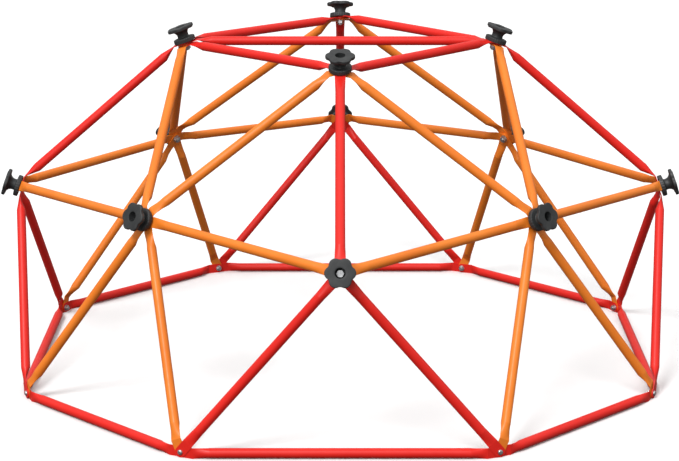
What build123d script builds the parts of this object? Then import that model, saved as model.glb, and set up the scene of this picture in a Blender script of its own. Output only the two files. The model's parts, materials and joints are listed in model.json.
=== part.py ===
"""Dome climber: a bolted frame of flat-ended steel tubes with twelve star knobs on its hubs.

Millimetres, +Z up. The origin is on the ground, under the middle of the dome.
The front of the dome faces -Y, and azimuths are counted from the front towards +X.
"""

import os
from collections import namedtuple
from math import cos, radians, sin

from build123d import *

# Overall sizes: where the bolt axes of each storey meet the stacked tube ends
foot_radius = 892.0
foot_azimuth = 25.26
waist_radius = 860.0
waist_rise = 456.0
shoulder_radius = 681.0
shoulder_rise = 486.5
crown_radius = 409.5
crown_rise = 847.0

# Direction of the bolt axes, as the elevation of the outward end
foot_tilt = 0.0
foot_bolt_azimuth = 22.5
waist_tilt = 19.0
shoulder_tilt = 22.0
crown_tilt = 71.0

# Tube and its pressed ends
tube_diameter = 24.0
tube_wall = 0.9
plate_width = 27.0
plate_reach = 32.0
press_length = 40.0
press_offset = 4.0
seam_share = 0.25
bend_share = 0.48

# Hub fasteners
hub_bolt_diameter = 10.0
hub_head_width = 17.0
hub_head_height = 6.4
hub_head_corner = 2.8
hub_nut_width = 17.0
hub_nut_height = 8.0
hub_washer_diameter = 21.0

# Foot fasteners
foot_bolt_diameter = 8.0
foot_head_diameter = 13.5
foot_head_height = 4.6
foot_dome_share = 0.8
foot_nut_width = 13.0
foot_nut_height = 6.5
foot_washer_diameter = 17.0

washer_thickness = 1.6
bolt_hole_clearance = 0.5
thread_clearance = 0.04
bolt_overrun = 3.0
edge_round = 0.8

# Star knob, measured up from the hub
knob_lobes = 6
knob_diameter = 74.0
knob_lobe_radius = 15.0
knob_height = 42.0
knob_rim_height = 9.0
knob_neck_diameter = 30.0
knob_flange_diameter = 56.0
knob_flange_height = 13.0
knob_floor = 14.0
knob_recess_diameter = 25.0
knob_edge_round = 2.0
knob_flare_share = 0.8
knob_valley_share = 0.8
knob_flange_edge_share = 0.8
knob_web_share = 0.9
knob_bore_clearance = 0.075
knob_end_float = 0.1

# A pressed end is the tube's two walls, one on the other
plate_thickness = 2 * tube_wall
bend_radius = bend_share * plate_thickness
seam_width = plate_width - 4 * tube_wall
seam_height = plate_thickness * seam_share
foot_height = max(plate_width, tube_diameter) / 2
hub_hole = hub_bolt_diameter + 2 * bolt_hole_clearance
foot_hole = foot_bolt_diameter + 2 * bolt_hole_clearance

Joint = namedtuple("Joint", "centre outward stack")
BarEnd = namedtuple("BarEnd", "joint level hole")

CARDINALS = {"front": 0, "right": 90, "back": 180, "left": 270}
DIAGONALS = {"front_right": 45, "back_right": 135, "back_left": 225, "front_left": 315}

# Order of the plates on each bolt, outermost first
FOOT_STACK = ["leg", "long_bar", "shoulder_leg", "short_bar"]
WAIST_STACK = ["ring_left", "ring_right", "spine", "leg_left", "leg_right"]
SHOULDER_STACK = ["upper_left", "upper_right", "ring_left", "ring_right", "leg_left", "leg_right"]
CROWN_STACK = ["side_left", "spine", "upper_left", "side_right", "upper_right"]
CROWN_STACK_WITH_CROSS = ["side_left", "spine", "cross", "upper_left", "side_right", "upper_right"]


def around(radius, azimuth, height):
    """The point at this azimuth from the front, on a level circle about the dome's axis."""
    return Vector(radius * sin(radians(azimuth)), -radius * cos(radians(azimuth)), height)


def bolt_direction(azimuth, tilt):
    return around(cos(radians(tilt)), azimuth, sin(radians(tilt)))


def joint(radius, azimuth, rise, bolt_azimuth, tilt, stack):
    centre = around(radius, azimuth, foot_height + rise)
    return Joint(centre, bolt_direction(bolt_azimuth, tilt), stack)


def joint_face(place):
    """The plane on the outermost plate of a joint, with X level and Z along the bolt."""
    level = Vector(0, 0, 1).cross(place.outward).normalized()
    top = place.centre + place.outward * (len(place.stack) * plate_thickness / 2)
    return Plane(origin=top, x_dir=level, z_dir=place.outward)


def plate_plane(end, towards):
    """The middle plane of a tube end's plate, from its hole, with X towards the bend."""
    below_top = (end.joint.stack.index(end.level) + 0.5) * plate_thickness
    drop = len(end.joint.stack) * plate_thickness / 2 - below_top
    hole_centre = end.joint.centre + end.joint.outward * drop
    along = towards - hole_centre
    flat_along = along - end.joint.outward * along.dot(end.joint.outward)
    return Plane(origin=hole_centre, x_dir=flat_along.normalized(), z_dir=end.joint.outward)


def pressed_tube(bends, plates, flat_profile, round_profile):
    """A round run between two bends, each end lofted to a flat profile on the tube's outer side."""
    bend_line = (bends[1] - bends[0]).normalized()
    starts = []
    for bend, plate, inboard in zip(bends, plates, (bend_line, -bend_line)):
        inward = (bend_line * plate.z_dir.dot(bend_line) - plate.z_dir).normalized()
        starts.append(bend + inboard * press_length + inward * press_offset)
    run = starts[1] - starts[0]
    with BuildPart() as tube:
        with BuildSketch(Plane(origin=starts[0], x_dir=plates[0].y_dir, z_dir=run)):
            add(round_profile)
        extrude(amount=run.length)
        for bend, start, plate in zip(bends, starts, plates):
            with BuildSketch(Plane(origin=bend, x_dir=plate.y_dir, z_dir=bend_line)):
                add(flat_profile)
            with BuildSketch(Plane(origin=start, x_dir=plate.y_dir, z_dir=run)):
                add(round_profile)
            loft()
    return tube.part


def bar(first, second):
    """One tube with both ends pressed flat, bent to lie on its joints and drilled."""
    plates = [
        plate_plane(first, second.joint.centre),
        plate_plane(second, first.joint.centre),
    ]
    bends = [plate.origin + plate.x_dir * plate_reach for plate in plates]
    outside = pressed_tube(bends, plates, flat_profile.sketch, round_profile.sketch)
    inside = pressed_tube(bends, plates, flat_bore.sketch, round_bore.sketch)
    with BuildPart() as tube:
        add(outside)
        add(inside, mode=Mode.SUBTRACT)
        for plate, bend, end in zip(plates, bends, (first, second)):
            with BuildSketch(plate):
                Circle(plate_width / 2)
                with Locations((plate_reach / 2, 0)):
                    Rectangle(plate_reach, plate_width)
                Circle(end.hole / 2, mode=Mode.SUBTRACT)
            extrude(amount=plate_thickness / 2, both=True)
            with BuildSketch(Plane(origin=bend, x_dir=plate.x_dir, z_dir=plate.y_dir)):
                Circle(bend_radius)
            extrude(amount=(plate_width - plate_thickness) / 2, both=True)
    return tube.part


def write_piece(name, *solids):
    """One STEP file that holds a single solid, or a group of separate ones."""
    piece = solids[0] if len(solids) == 1 else Compound(children=solids)
    piece.label = name
    export_step(piece, f"parts/{name}.step")


def placed(piece, joints, height):
    """Copies of a piece that is modelled standing on XY, at this height above each joint's face."""
    return [piece.moved(joint_face(place).offset(height).location) for place in joints]


# Sections of the tube, outside and inside, where it is pressed flat and where it is round
with BuildSketch() as flat_profile:
    SlotOverall(plate_width, plate_thickness)
with BuildSketch() as round_profile:
    Circle(tube_diameter / 2)
with BuildSketch() as flat_bore:
    Ellipse(seam_width / 2, seam_height / 2)
with BuildSketch() as round_bore:
    Circle(tube_diameter / 2 - tube_wall)


# Star knob: a grooved flange, a waisted neck and a lobed rim, hollowed for the bolt's head
neck_radius = knob_neck_diameter / 2
flange_radius = knob_flange_diameter / 2
rim_base = knob_height - knob_rim_height
lobe_circle = knob_diameter / 2 - knob_lobe_radius
flare_radius = min(rim_base - knob_flange_height, lobe_circle) * knob_flare_share
with BuildPart() as star_knob:
    with BuildSketch(Plane.XZ):
        with BuildLine():
            flange_edge = (flange_radius, knob_flange_height * knob_flange_edge_share)
            neck_foot = (neck_radius, knob_flange_height)
            neck_top = (neck_radius, rim_base - flare_radius)
            flare_end = (neck_radius + flare_radius, rim_base)
            Polyline((0, rim_base), (0, 0), (flange_radius, 0), flange_edge, neck_foot, neck_top)
            RadiusArc(neck_top, flare_end, -flare_radius)
            Line(flare_end, (0, rim_base))
        make_face()
    revolve()
    with BuildSketch(Plane.XY.offset(rim_base)) as rim_outline:
        Circle(lobe_circle * knob_web_share)
        with PolarLocations(lobe_circle, knob_lobes):
            Circle(knob_lobe_radius)
        fillet(rim_outline.vertices(), knob_lobe_radius * knob_valley_share)
    extrude(amount=knob_rim_height)
    fillet(star_knob.faces().sort_by(Axis.Z)[-1].outer_wire().edges(), knob_edge_round)
    with BuildSketch(Plane.XY.offset(knob_floor)):
        Circle(knob_recess_diameter / 2)
    extrude(amount=knob_height, mode=Mode.SUBTRACT)
    with BuildSketch():
        Circle(hub_bolt_diameter / 2 + knob_bore_clearance)
    extrude(amount=knob_height, mode=Mode.SUBTRACT)

# Hub bolt: modelled with the underside of its head on XY and its shank hanging below
def hub_bolt(plates):
    """A hex bolt long enough for the knob's floor, this many plates, a washer and a nut."""
    grip = knob_floor + 2 * knob_end_float + plates * plate_thickness + washer_thickness
    with BuildPart() as bolt:
        with BuildSketch():
            RegularPolygon(hub_head_width / 2, 6, major_radius=False)
        extrude(amount=hub_head_height)
        fillet(bolt.edges().filter_by(Axis.Z), hub_head_corner)
        fillet(bolt.edges().group_by(Axis.Z)[-1], edge_round)
        with BuildSketch():
            Circle(hub_bolt_diameter / 2)
        extrude(amount=-(grip + hub_nut_height + bolt_overrun))
    return bolt.part


def washer(outer_diameter, bolt_diameter):
    """A flat washer hanging under XY."""
    with BuildPart() as ring:
        with BuildSketch():
            Circle(outer_diameter / 2)
            Circle(bolt_diameter / 2 + thread_clearance, mode=Mode.SUBTRACT)
        extrude(amount=-washer_thickness)
    return ring.part


def nut(width, height, bolt_diameter):
    """A hex nut hanging under XY, with its lower corners rounded off."""
    with BuildPart() as hexagon:
        with BuildSketch():
            RegularPolygon(width / 2, 6, major_radius=False)
        extrude(amount=-height)
        chamfer(hexagon.edges().group_by(Axis.Z)[0], edge_round)
        with BuildSketch():
            Circle(bolt_diameter / 2 + thread_clearance)
        extrude(amount=-height, mode=Mode.SUBTRACT)
    return hexagon.part


# Foot bolt: a domed head standing on XY, with its shank below
foot_grip = len(FOOT_STACK) * plate_thickness + washer_thickness
with BuildPart() as foot_bolt:
    with BuildSketch():
        Circle(foot_head_diameter / 2)
    extrude(amount=foot_head_height)
    fillet(foot_bolt.edges().group_by(Axis.Z)[-1], foot_head_height * foot_dome_share)
    with BuildSketch():
        Circle(foot_bolt_diameter / 2)
    extrude(amount=-(foot_grip + foot_nut_height + bolt_overrun))

# The dome's joints, by name
feet = {}
waists = {}
shoulders = {}
crowns = {}
for name, azimuth in CARDINALS.items():
    waists[name] = joint(waist_radius, azimuth, waist_rise, azimuth, waist_tilt, WAIST_STACK)
    crossed = name in ("left", "right")
    crown_stack = CROWN_STACK_WITH_CROSS if crossed else CROWN_STACK
    crowns[name] = joint(crown_radius, azimuth, crown_rise, azimuth, crown_tilt, crown_stack)
for name, azimuth in DIAGONALS.items():
    shoulders[name] = joint(
        shoulder_radius, azimuth, shoulder_rise, azimuth, shoulder_tilt, SHOULDER_STACK
    )
for cardinal, azimuth in CARDINALS.items():
    for side in (-1, 1):
        corner = (azimuth + side * 45) % 360
        diagonal = next(key for key, value in DIAGONALS.items() if value == corner)
        feet[cardinal, diagonal] = joint(
            foot_radius,
            azimuth + side * foot_azimuth,
            0,
            azimuth + side * foot_bolt_azimuth,
            foot_tilt,
            FOOT_STACK,
        )


def neighbours(azimuth, ring):
    """The names of the two joints of a ring 45 degrees to the left and right, seen from outside."""
    names = {value: key for key, value in ring.items()}
    return names[(azimuth - 45) % 360], names[(azimuth + 45) % 360]


def hub_end(place, level):
    return BarEnd(place, level, hub_hole)


def foot_end(place, level):
    return BarEnd(place, level, foot_hole)


os.makedirs("parts", exist_ok=True)

# Tubes that start at the crown, the waist and the ground on each of the four main sides
for name, azimuth in CARDINALS.items():
    left, right = neighbours(azimuth, DIAGONALS)
    crown = crowns[name]
    waist = waists[name]
    next_name = next(key for key, value in CARDINALS.items() if value == (azimuth + 90) % 360)
    side = bar(hub_end(crown, "side_right"), hub_end(crowns[next_name], "side_left"))
    write_piece(f"crown_bar_{right}", side)
    spine = bar(hub_end(crown, "spine"), hub_end(waist, "spine"))
    write_piece(f"spine_{name}", spine)
    for corner, hand, other in ((left, "left", "right"), (right, "right", "left")):
        upper = bar(
            hub_end(crown, f"upper_{hand}"), hub_end(shoulders[corner], f"upper_{other}")
        )
        write_piece(f"upper_bar_{name}_to_{corner}", upper)
        leg = bar(hub_end(waist, f"leg_{hand}"), foot_end(feet[name, corner], "leg"))
        write_piece(f"waist_leg_{name}_to_{corner}", leg)
    long_bar = bar(
        foot_end(feet[name, left], "long_bar"), foot_end(feet[name, right], "long_bar")
    )
    write_piece(f"base_bar_{name}", long_bar)

cross_bar = bar(hub_end(crowns["left"], "cross"), hub_end(crowns["right"], "cross"))
write_piece("crown_cross_bar", cross_bar)

# Tubes that start at the shoulders on each of the four corners
for name, azimuth in DIAGONALS.items():
    left, right = neighbours(azimuth, CARDINALS)
    shoulder = shoulders[name]
    ring_bars = [
        bar(hub_end(shoulder, "ring_left"), hub_end(waists[left], "ring_right")),
        bar(hub_end(shoulder, "ring_right"), hub_end(waists[right], "ring_left")),
    ]
    write_piece(f"ring_bars_{name}", *ring_bars)
    legs = [
        bar(hub_end(shoulder, "leg_left"), foot_end(feet[left, name], "shoulder_leg")),
        bar(hub_end(shoulder, "leg_right"), foot_end(feet[right, name], "shoulder_leg")),
    ]
    write_piece(f"shoulder_legs_{name}", *legs)
    short_bar = bar(
        foot_end(feet[left, name], "short_bar"), foot_end(feet[right, name], "short_bar")
    )
    write_piece(f"base_bar_{name}", short_bar)

# Knobs, one on each hub
hubs = {}
for storey, ring in (("crown", crowns), ("waist", waists), ("shoulder", shoulders)):
    for name, place in ring.items():
        hubs[f"{storey}_{name}"] = place
for name, place in hubs.items():
    write_piece(f"knob_{name}", *placed(star_knob.part, [place], knob_end_float))

# Fasteners, each kind as one group
hub_bolts = []
hub_washers = []
hub_nuts = []
for place in hubs.values():
    stack = len(place.stack) * plate_thickness
    hub_bolts += placed(hub_bolt(len(place.stack)), [place], knob_floor + 2 * knob_end_float)
    hub_washers += placed(washer(hub_washer_diameter, hub_bolt_diameter), [place], -stack)
    hub_nuts += placed(
        nut(hub_nut_width, hub_nut_height, hub_bolt_diameter), [place], -stack - washer_thickness
    )
write_piece("hub_bolts", *hub_bolts)
write_piece("hub_washers", *hub_washers)
write_piece("hub_nuts", *hub_nuts)

foot_stack = len(FOOT_STACK) * plate_thickness
write_piece("foot_bolts", *placed(foot_bolt.part, feet.values(), 0))
write_piece(
    "foot_washers",
    *placed(washer(foot_washer_diameter, foot_bolt_diameter), feet.values(), -foot_stack),
)
write_piece(
    "foot_nuts",
    *placed(
        nut(foot_nut_width, foot_nut_height, foot_bolt_diameter),
        feet.values(),
        -foot_stack - washer_thickness,
    ),
)
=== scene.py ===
"""Studio picture of the dome climber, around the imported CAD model. Metres, +Z up, front towards -Y."""

import json
from math import atan2, cos, pi, radians, sin, sqrt

import bmesh
import bpy
from mathutils import Matrix, Vector


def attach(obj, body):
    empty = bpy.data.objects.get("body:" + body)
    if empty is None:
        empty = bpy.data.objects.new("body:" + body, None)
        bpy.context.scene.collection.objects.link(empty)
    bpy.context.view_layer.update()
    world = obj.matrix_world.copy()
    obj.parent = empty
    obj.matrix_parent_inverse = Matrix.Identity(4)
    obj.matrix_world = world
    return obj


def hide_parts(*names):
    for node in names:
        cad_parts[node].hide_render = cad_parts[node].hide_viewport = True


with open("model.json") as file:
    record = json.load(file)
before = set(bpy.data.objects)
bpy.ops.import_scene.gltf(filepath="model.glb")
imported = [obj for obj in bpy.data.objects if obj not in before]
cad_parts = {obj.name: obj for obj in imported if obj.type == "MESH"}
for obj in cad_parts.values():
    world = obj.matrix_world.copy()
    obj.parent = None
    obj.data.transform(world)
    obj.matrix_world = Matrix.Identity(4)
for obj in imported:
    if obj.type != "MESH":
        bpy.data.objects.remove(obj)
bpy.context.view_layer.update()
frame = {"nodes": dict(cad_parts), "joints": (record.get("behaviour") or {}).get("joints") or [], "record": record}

MM = 0.001


# ---------------------------------------------------------------- materials

def material(name):
    """A new node material: returns it, its node tree and its shader."""
    made = bpy.data.materials.new(name)
    made.use_nodes = True
    tree = made.node_tree
    return made, tree, tree.nodes["Principled BSDF"]


def node(tree, kind, **inputs):
    """A node with some of its sockets set, by socket name."""
    made = tree.nodes.new(kind)
    for socket, value in inputs.items():
        made.inputs[socket.replace("_", " ")].default_value = value
    return made


def noise(tree, scale, detail=3.0, roughness=0.5):
    """A 3-D noise in the object's own coordinates."""
    place = tree.nodes.new("ShaderNodeTexCoord")
    made = node(tree, "ShaderNodeTexNoise", Scale=scale, Detail=detail, Roughness=roughness)
    tree.links.new(place.outputs["Object"], made.inputs["Vector"])
    return made


def ramp(tree, source, stops):
    """A colour ramp over a factor: stops are (position, colour)."""
    made = tree.nodes.new("ShaderNodeValToRGB")
    elements = made.color_ramp.elements
    while len(elements) < len(stops):
        elements.new(0.5)
    for element, (position, colour) in zip(elements, stops):
        element.position = position
        element.color = (*colour, 1.0)
    tree.links.new(source, made.inputs["Fac"])
    return made


def grey(level):
    return (level, level, level)


def bump(tree, shader, layers):
    """Stacks bump layers of (height socket, strength, distance) on a shader."""
    last = None
    for height, strength, distance in layers:
        made = node(tree, "ShaderNodeBump", Strength=strength, Distance=distance)
        tree.links.new(height, made.inputs["Height"])
        if last:
            tree.links.new(last.outputs["Normal"], made.inputs["Normal"])
        last = made
    tree.links.new(last.outputs["Normal"], shader.inputs["Normal"])


def powder_coat(name, body, deep, bright):
    """Satin powder coat: slow colour drift, orange peel, and faint rubbed patches."""
    made, tree, shader = material(name)
    drift = noise(tree, 7.0, 4.0)
    colour = ramp(tree, drift.outputs["Fac"], [(0.3, deep), (0.5, body), (0.72, bright)])
    tree.links.new(colour.outputs["Color"], shader.inputs["Base Color"])
    rub = noise(tree, 45.0, 6.0, 0.65)
    gloss = ramp(tree, rub.outputs["Fac"], [(0.35, grey(0.36)), (0.6, grey(0.44)), (0.75, grey(0.52))])
    tree.links.new(gloss.outputs["Color"], shader.inputs["Roughness"])
    peel = noise(tree, 620.0, 2.0)
    waves = noise(tree, 90.0, 2.0)
    bump(tree, shader, [
        (waves.outputs["Fac"], 0.10, 0.4 * MM),
        (peel.outputs["Fac"], 0.16, 0.15 * MM),
    ])
    shader.inputs["Specular IOR Level"].default_value = 0.38
    return made


def moulded_plastic(name):
    """Charcoal nylon with a fine spark-eroded grain and dull, slightly lighter wear."""
    made, tree, shader = material(name)
    drift = noise(tree, 38.0, 4.0)
    colour = ramp(tree, drift.outputs["Fac"], [
        (0.3, (0.021, 0.023, 0.024)),
        (0.55, (0.030, 0.032, 0.033)),
        (0.8, (0.045, 0.047, 0.047)),
    ])
    tree.links.new(colour.outputs["Color"], shader.inputs["Base Color"])
    patches = noise(tree, 70.0, 5.0)
    gloss = ramp(tree, patches.outputs["Fac"], [(0.3, grey(0.42)), (0.7, grey(0.58))])
    tree.links.new(gloss.outputs["Color"], shader.inputs["Roughness"])
    grain = noise(tree, 1400.0, 2.0)
    bump(tree, shader, [(grain.outputs["Fac"], 0.25, 0.12 * MM)])
    shader.inputs["Specular IOR Level"].default_value = 0.45
    return made


def zinc(name):
    """Bright zinc plate with fine handling scratches and a little tarnish."""
    made, tree, shader = material(name)
    tarnish = noise(tree, 160.0, 5.0)
    colour = ramp(tree, tarnish.outputs["Fac"], [
        (0.3, (0.46, 0.47, 0.48)),
        (0.55, (0.62, 0.63, 0.64)),
        (0.8, (0.72, 0.72, 0.71)),
    ])
    tree.links.new(colour.outputs["Color"], shader.inputs["Base Color"])
    shader.inputs["Metallic"].default_value = 1.0
    scuffs = noise(tree, 320.0, 6.0, 0.7)
    gloss = ramp(tree, scuffs.outputs["Fac"], [(0.3, grey(0.26)), (0.7, grey(0.44))])
    tree.links.new(gloss.outputs["Color"], shader.inputs["Roughness"])
    bump(tree, shader, [(scuffs.outputs["Fac"], 0.12, 0.1 * MM)])
    return made


RED = {"body": (0.77, 0.016, 0.009), "deep": (0.73, 0.014, 0.008), "bright": (0.81, 0.020, 0.012)}
ORANGE = {"body": (0.84, 0.212, 0.018), "deep": (0.80, 0.190, 0.015), "bright": (0.88, 0.236, 0.024)}

FINISHES = {
    "red_steel": powder_coat("red_powder_coat", **RED),
    "orange_steel": powder_coat("orange_powder_coat", **ORANGE),
    "knob_plastic": moulded_plastic("charcoal_moulded_plastic"),
    "zinc_steel": zinc("bright_zinc_plate"),
}

for part in frame["record"]["subparts"]:
    for place in frame["nodes"][part["node"]].material_slots:
        place.material = FINISHES[part["material_slot"]]


# ---------------------------------------------------------------- star knobs

# Sizes as on the CAD knob that each one replaces, with heights up from its underside.
# The flange's radius is 1 mm more, and the grooves and the rounder edges are this mesh's own.
KNOB_RADIUS = 37.0 * MM
LOBES = 6
LOBE_RADIUS = 15.0 * MM
VALLEY_RADIUS = 12.0 * MM
FLANGE_RADIUS = 29.0 * MM
FLANGE_HEIGHT = 13.0 * MM
NECK_RADIUS = 15.0 * MM
KNOB_HEIGHT = 42.0 * MM
RIM_HEIGHT = 9.0 * MM
RECESS_RADIUS = 12.5 * MM
FLOOR_HEIGHT = 14.0 * MM
BORE_RADIUS = 5.075 * MM
BORE_CHAMFER = 0.4 * MM
FLANGE_EDGE = 1.0 * MM
BROW_HEIGHT = 9.0 * MM
BROW_ROUND = 2.5 * MM
ROOT_ROUND = 2.5 * MM
ROOT_RISE = 2.0 * MM
FLARE_RADIUS = 15.5 * MM
FLARE_STEPS = 12
FLARE_LOBE_SHARE = 0.6
RIM_ROUND = 2.2 * MM
LIP_ROUND = 1.0 * MM
PIT_ROUND = 0.8 * MM
GRIP_GROOVES = 24
GROOVE_DEPTH = 0.7 * MM
TURNS = 288

# Points between the section's arcs, as (radius, height, share of the lobes, share of the grooves)
UNDERSIDE = (22.0 * MM, 0.0, 0, 0)
SHOULDER = [(22.0 * MM, 11.9 * MM, 0, 0.2), (19.5 * MM, 12.4 * MM, 0, 0)]
RIM_TOP = [(27.0 * MM, KNOB_HEIGHT, 0.8, 0), (20.0 * MM, KNOB_HEIGHT, 0.3, 0)]


def arc(centre, radius, first, last, steps):
    """Points along an arc in the (radius, height) half-plane, angles in degrees."""
    points = []
    for step in range(steps + 1):
        angle = radians(first + (last - first) * step / steps)
        points.append((centre[0] + radius * cos(angle), centre[1] + radius * sin(angle)))
    return points


def lobe_dip(angle):
    """How far the rim's outline lies inside its outer circle: round lobes joined by hollow arcs."""
    half = pi / LOBES
    off = abs((angle + half) % (2 * half) - half)
    lobe_circle = KNOB_RADIUS - LOBE_RADIUS
    span = LOBE_RADIUS + VALLEY_RADIUS
    valley_circle = lobe_circle * cos(half) + sqrt(span ** 2 - (lobe_circle * sin(half)) ** 2)
    share = LOBE_RADIUS / span
    across = valley_circle * sin(half) * share
    along = lobe_circle + (valley_circle * cos(half) - lobe_circle) * share
    if off < atan2(across, along):
        bulge = sqrt(LOBE_RADIUS ** 2 - (lobe_circle * sin(off)) ** 2)
        return KNOB_RADIUS - lobe_circle * cos(off) - bulge
    away = half - off
    hollow = sqrt(VALLEY_RADIUS ** 2 - (valley_circle * sin(away)) ** 2)
    return KNOB_RADIUS - valley_circle * cos(away) + hollow


def knob_profile():
    """The knob's closed section as (radius, height, share of the lobes, share of the grooves)."""
    rim_base = KNOB_HEIGHT - RIM_HEIGHT
    rim_inner = KNOB_RADIUS - RIM_ROUND
    section = [(BORE_RADIUS, BORE_CHAMFER, 0, 0), (BORE_RADIUS + BORE_CHAMFER, 0, 0, 0), UNDERSIDE]
    foot = (FLANGE_RADIUS - FLANGE_EDGE, FLANGE_EDGE)
    section += [(r, z, 0, 1) for r, z in arc(foot, FLANGE_EDGE, -90, 0, 4)]
    brow = (FLANGE_RADIUS - BROW_ROUND, BROW_HEIGHT)
    section += [(r, z, 0, 1) for r, z in arc(brow, BROW_ROUND, 0, 75, 6)]
    section += SHOULDER
    root = (NECK_RADIUS + ROOT_ROUND, FLANGE_HEIGHT + ROOT_RISE)
    section += [(r, z, 0, 0) for r, z in arc(root, ROOT_ROUND, -90, -180, 6)]
    for step in range(FLARE_STEPS + 1):
        angle = radians(90 * step / FLARE_STEPS)
        radius = NECK_RADIUS + FLARE_RADIUS * (1 - cos(angle))
        height = rim_base - FLARE_RADIUS + FLARE_RADIUS * sin(angle)
        section.append((radius, height, FLARE_LOBE_SHARE * step / FLARE_STEPS, 0))
    under = (rim_inner, rim_base + RIM_ROUND)
    section += [(r, z, 1, 0) for r, z in arc(under, RIM_ROUND, -90, 0, 5)]
    over = (rim_inner, KNOB_HEIGHT - RIM_ROUND)
    section += [(r, z, 1, 0) for r, z in arc(over, RIM_ROUND, 0, 90, 6)]
    section += RIM_TOP
    lip = (RECESS_RADIUS + LIP_ROUND, KNOB_HEIGHT - LIP_ROUND)
    section += [(r, z, 0, 0) for r, z in arc(lip, LIP_ROUND, 90, 180, 4)]
    pit = (RECESS_RADIUS - PIT_ROUND, FLOOR_HEIGHT + PIT_ROUND)
    section += [(r, z, 0, 0) for r, z in arc(pit, PIT_ROUND, 0, -90, 4)]
    section.append((BORE_RADIUS + BORE_CHAMFER, FLOOR_HEIGHT, 0, 0))
    section.append((BORE_RADIUS, FLOOR_HEIGHT - BORE_CHAMFER, 0, 0))
    return section


def knob_mesh():
    """One star knob standing on XY, as a closed mesh turned from its section."""
    shape = bmesh.new()
    rings = []
    for radius, height, lobe_share, groove_share in knob_profile():
        ring = []
        for turn in range(TURNS):
            angle = 2 * pi * turn / TURNS
            dip = lobe_dip(angle)
            groove = max(0.0, cos(GRIP_GROOVES * angle)) ** 1.5
            r = radius - lobe_share * dip - groove_share * GROOVE_DEPTH * groove
            ring.append(shape.verts.new((r * cos(angle), r * sin(angle), height)))
        rings.append(ring)
    for low, high in zip(rings, rings[1:] + rings[:1]):
        for turn in range(TURNS):
            after = (turn + 1) % TURNS
            shape.faces.new((low[turn], low[after], high[after], high[turn]))
    bmesh.ops.recalc_face_normals(shape, faces=shape.faces)
    mesh = bpy.data.meshes.new("star_knob")
    shape.to_mesh(mesh)
    shape.free()
    mesh.shade_smooth()
    return mesh


def stand(outward, seat):
    """A matrix that stands a piece on a seat, with Z outward and X level."""
    level = Vector((0, 0, 1)).cross(outward).normalized()
    side = outward.cross(level)
    turn = Matrix((level, side, outward)).transposed().to_4x4()
    return Matrix.Translation(seat) @ turn


def seat_height(body, centre, outward):
    """How far up its bolt axis a knob's underside lies, read from the CAD knob's own vertices."""
    corners = frame["nodes"][body].data.vertices
    return min((corner.co - centre).dot(outward) for corner in corners)


master = knob_mesh()
for turn_joint in frame["joints"]:
    body = turn_joint["child"]
    outward = Vector(turn_joint["axis"]).normalized()
    centre = Vector(turn_joint["pos_m"])
    seat = centre + outward * seat_height(body, centre, outward)
    knob = bpy.data.objects.new(f"{body}_moulded", master.copy())
    knob.data.transform(stand(outward, seat))
    knob.data.materials.append(FINISHES["knob_plastic"])
    bpy.context.scene.collection.objects.link(knob)
    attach(knob, body)
    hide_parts(body)


# ---------------------------------------------------------------- studio

CAMERA_DISTANCE = 5.773
CAMERA_ELEVATION = 14.79
AIM_HEIGHT = 0.347
LENS_MM = 112.7
SENSOR_MM = 36.0
SHIFT_X = -0.001
FLOOR_HALF = 30.0


def aim(thing, target):
    """Turns a camera or light so that it looks at a point."""
    heading = Vector(target) - thing.location
    thing.rotation_euler = heading.to_track_quat("-Z", "Y").to_euler()


def studio_camera():
    """The scene's camera, at the angle and the focal length of the picture to match."""
    lens = bpy.data.cameras.new("studio_camera")
    lens.lens = LENS_MM
    lens.sensor_width = SENSOR_MM
    lens.clip_end = 100.0
    made = bpy.data.objects.new("studio_camera", lens)
    tilt = radians(CAMERA_ELEVATION)
    made.location = (0, -CAMERA_DISTANCE * cos(tilt), AIM_HEIGHT + CAMERA_DISTANCE * sin(tilt))
    lens.shift_x = SHIFT_X
    bpy.context.scene.collection.objects.link(made)
    aim(made, (0, 0, AIM_HEIGHT))
    bpy.context.scene.camera = made


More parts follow.
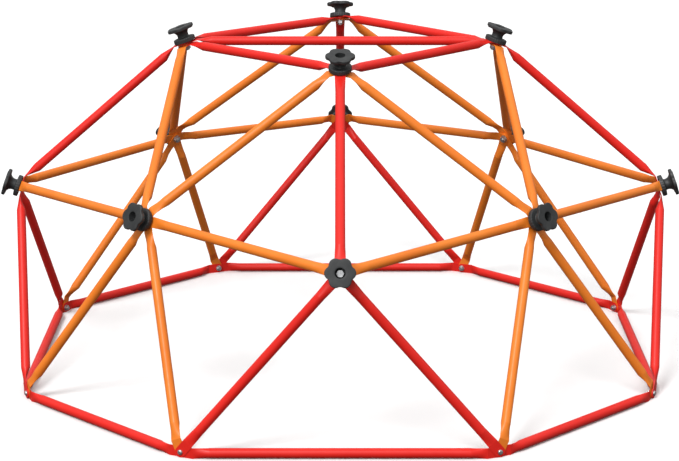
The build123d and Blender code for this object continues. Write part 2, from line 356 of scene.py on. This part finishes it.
def floor():
    """A wide sheet of pale paper, left out of the light that bounces onto the dome."""
    corners = ((-1, -1), (1, -1), (1, 1), (-1, 1))
    shape = bmesh.new()
    shape.faces.new([shape.verts.new((FLOOR_HALF * x, FLOOR_HALF * y, 0)) for x, y in corners])
    mesh = bpy.data.meshes.new("studio_floor")
    shape.to_mesh(mesh)
    shape.free()
    made, tree, shader = material("pale_studio_paper")
    paper = noise(tree, 3.0, 3.0)
    colour = ramp(tree, paper.outputs["Fac"], [(0.3, grey(0.93)), (0.7, grey(0.95))])
    tree.links.new(colour.outputs["Color"], shader.inputs["Base Color"])
    shader.inputs["Roughness"].default_value = 0.9
    shader.inputs["Specular IOR Level"].default_value = 0.1
    mesh.materials.append(made)
    ground = bpy.data.objects.new("studio_floor", mesh)
    ground.visible_diffuse = False
    ground.visible_glossy = False
    bpy.context.scene.collection.objects.link(ground)


def studio_world(nadir, horizon, zenith):
    """A plain white surround whose brightness rises from underfoot to overhead."""
    world = bpy.data.worlds.new("studio_world")
    world.use_nodes = True
    tree = world.node_tree
    sky = tree.nodes["Background"]
    heading = tree.nodes.new("ShaderNodeTexCoord")
    split = tree.nodes.new("ShaderNodeSeparateXYZ")
    tree.links.new(heading.outputs["Generated"], split.inputs["Vector"])
    rise = node(tree, "ShaderNodeMapRange", From_Min=-1.0, From_Max=1.0)
    tree.links.new(split.outputs["Z"], rise.inputs["Value"])
    tone = ramp(tree, rise.outputs["Result"], [(0.0, grey(nadir)), (0.5, grey(horizon)), (1.0, grey(zenith))])
    tree.links.new(tone.outputs["Color"], sky.inputs["Color"])
    bpy.context.scene.world = world


def sun(name, place, spread, strength):
    """A soft sun lamp that shines from a place towards the origin. Its spread is in degrees."""
    lamp = bpy.data.lights.new(name, "SUN")
    lamp.angle = radians(spread)
    lamp.energy = strength
    made = bpy.data.objects.new(name, lamp)
    made.location = place
    bpy.context.scene.collection.objects.link(made)
    aim(made, (0, 0, 0))


studio_camera()
floor()
studio_world(nadir=0.06, horizon=0.26, zenith=1.05)
sun("key_light", place=(-1.8, -3.2, 4.2), spread=18, strength=1.95)
sun("front_light", place=(-1.4, -4.0, 1.4), spread=14, strength=0.5)
bpy.context.scene.view_settings.view_transform = "Standard"
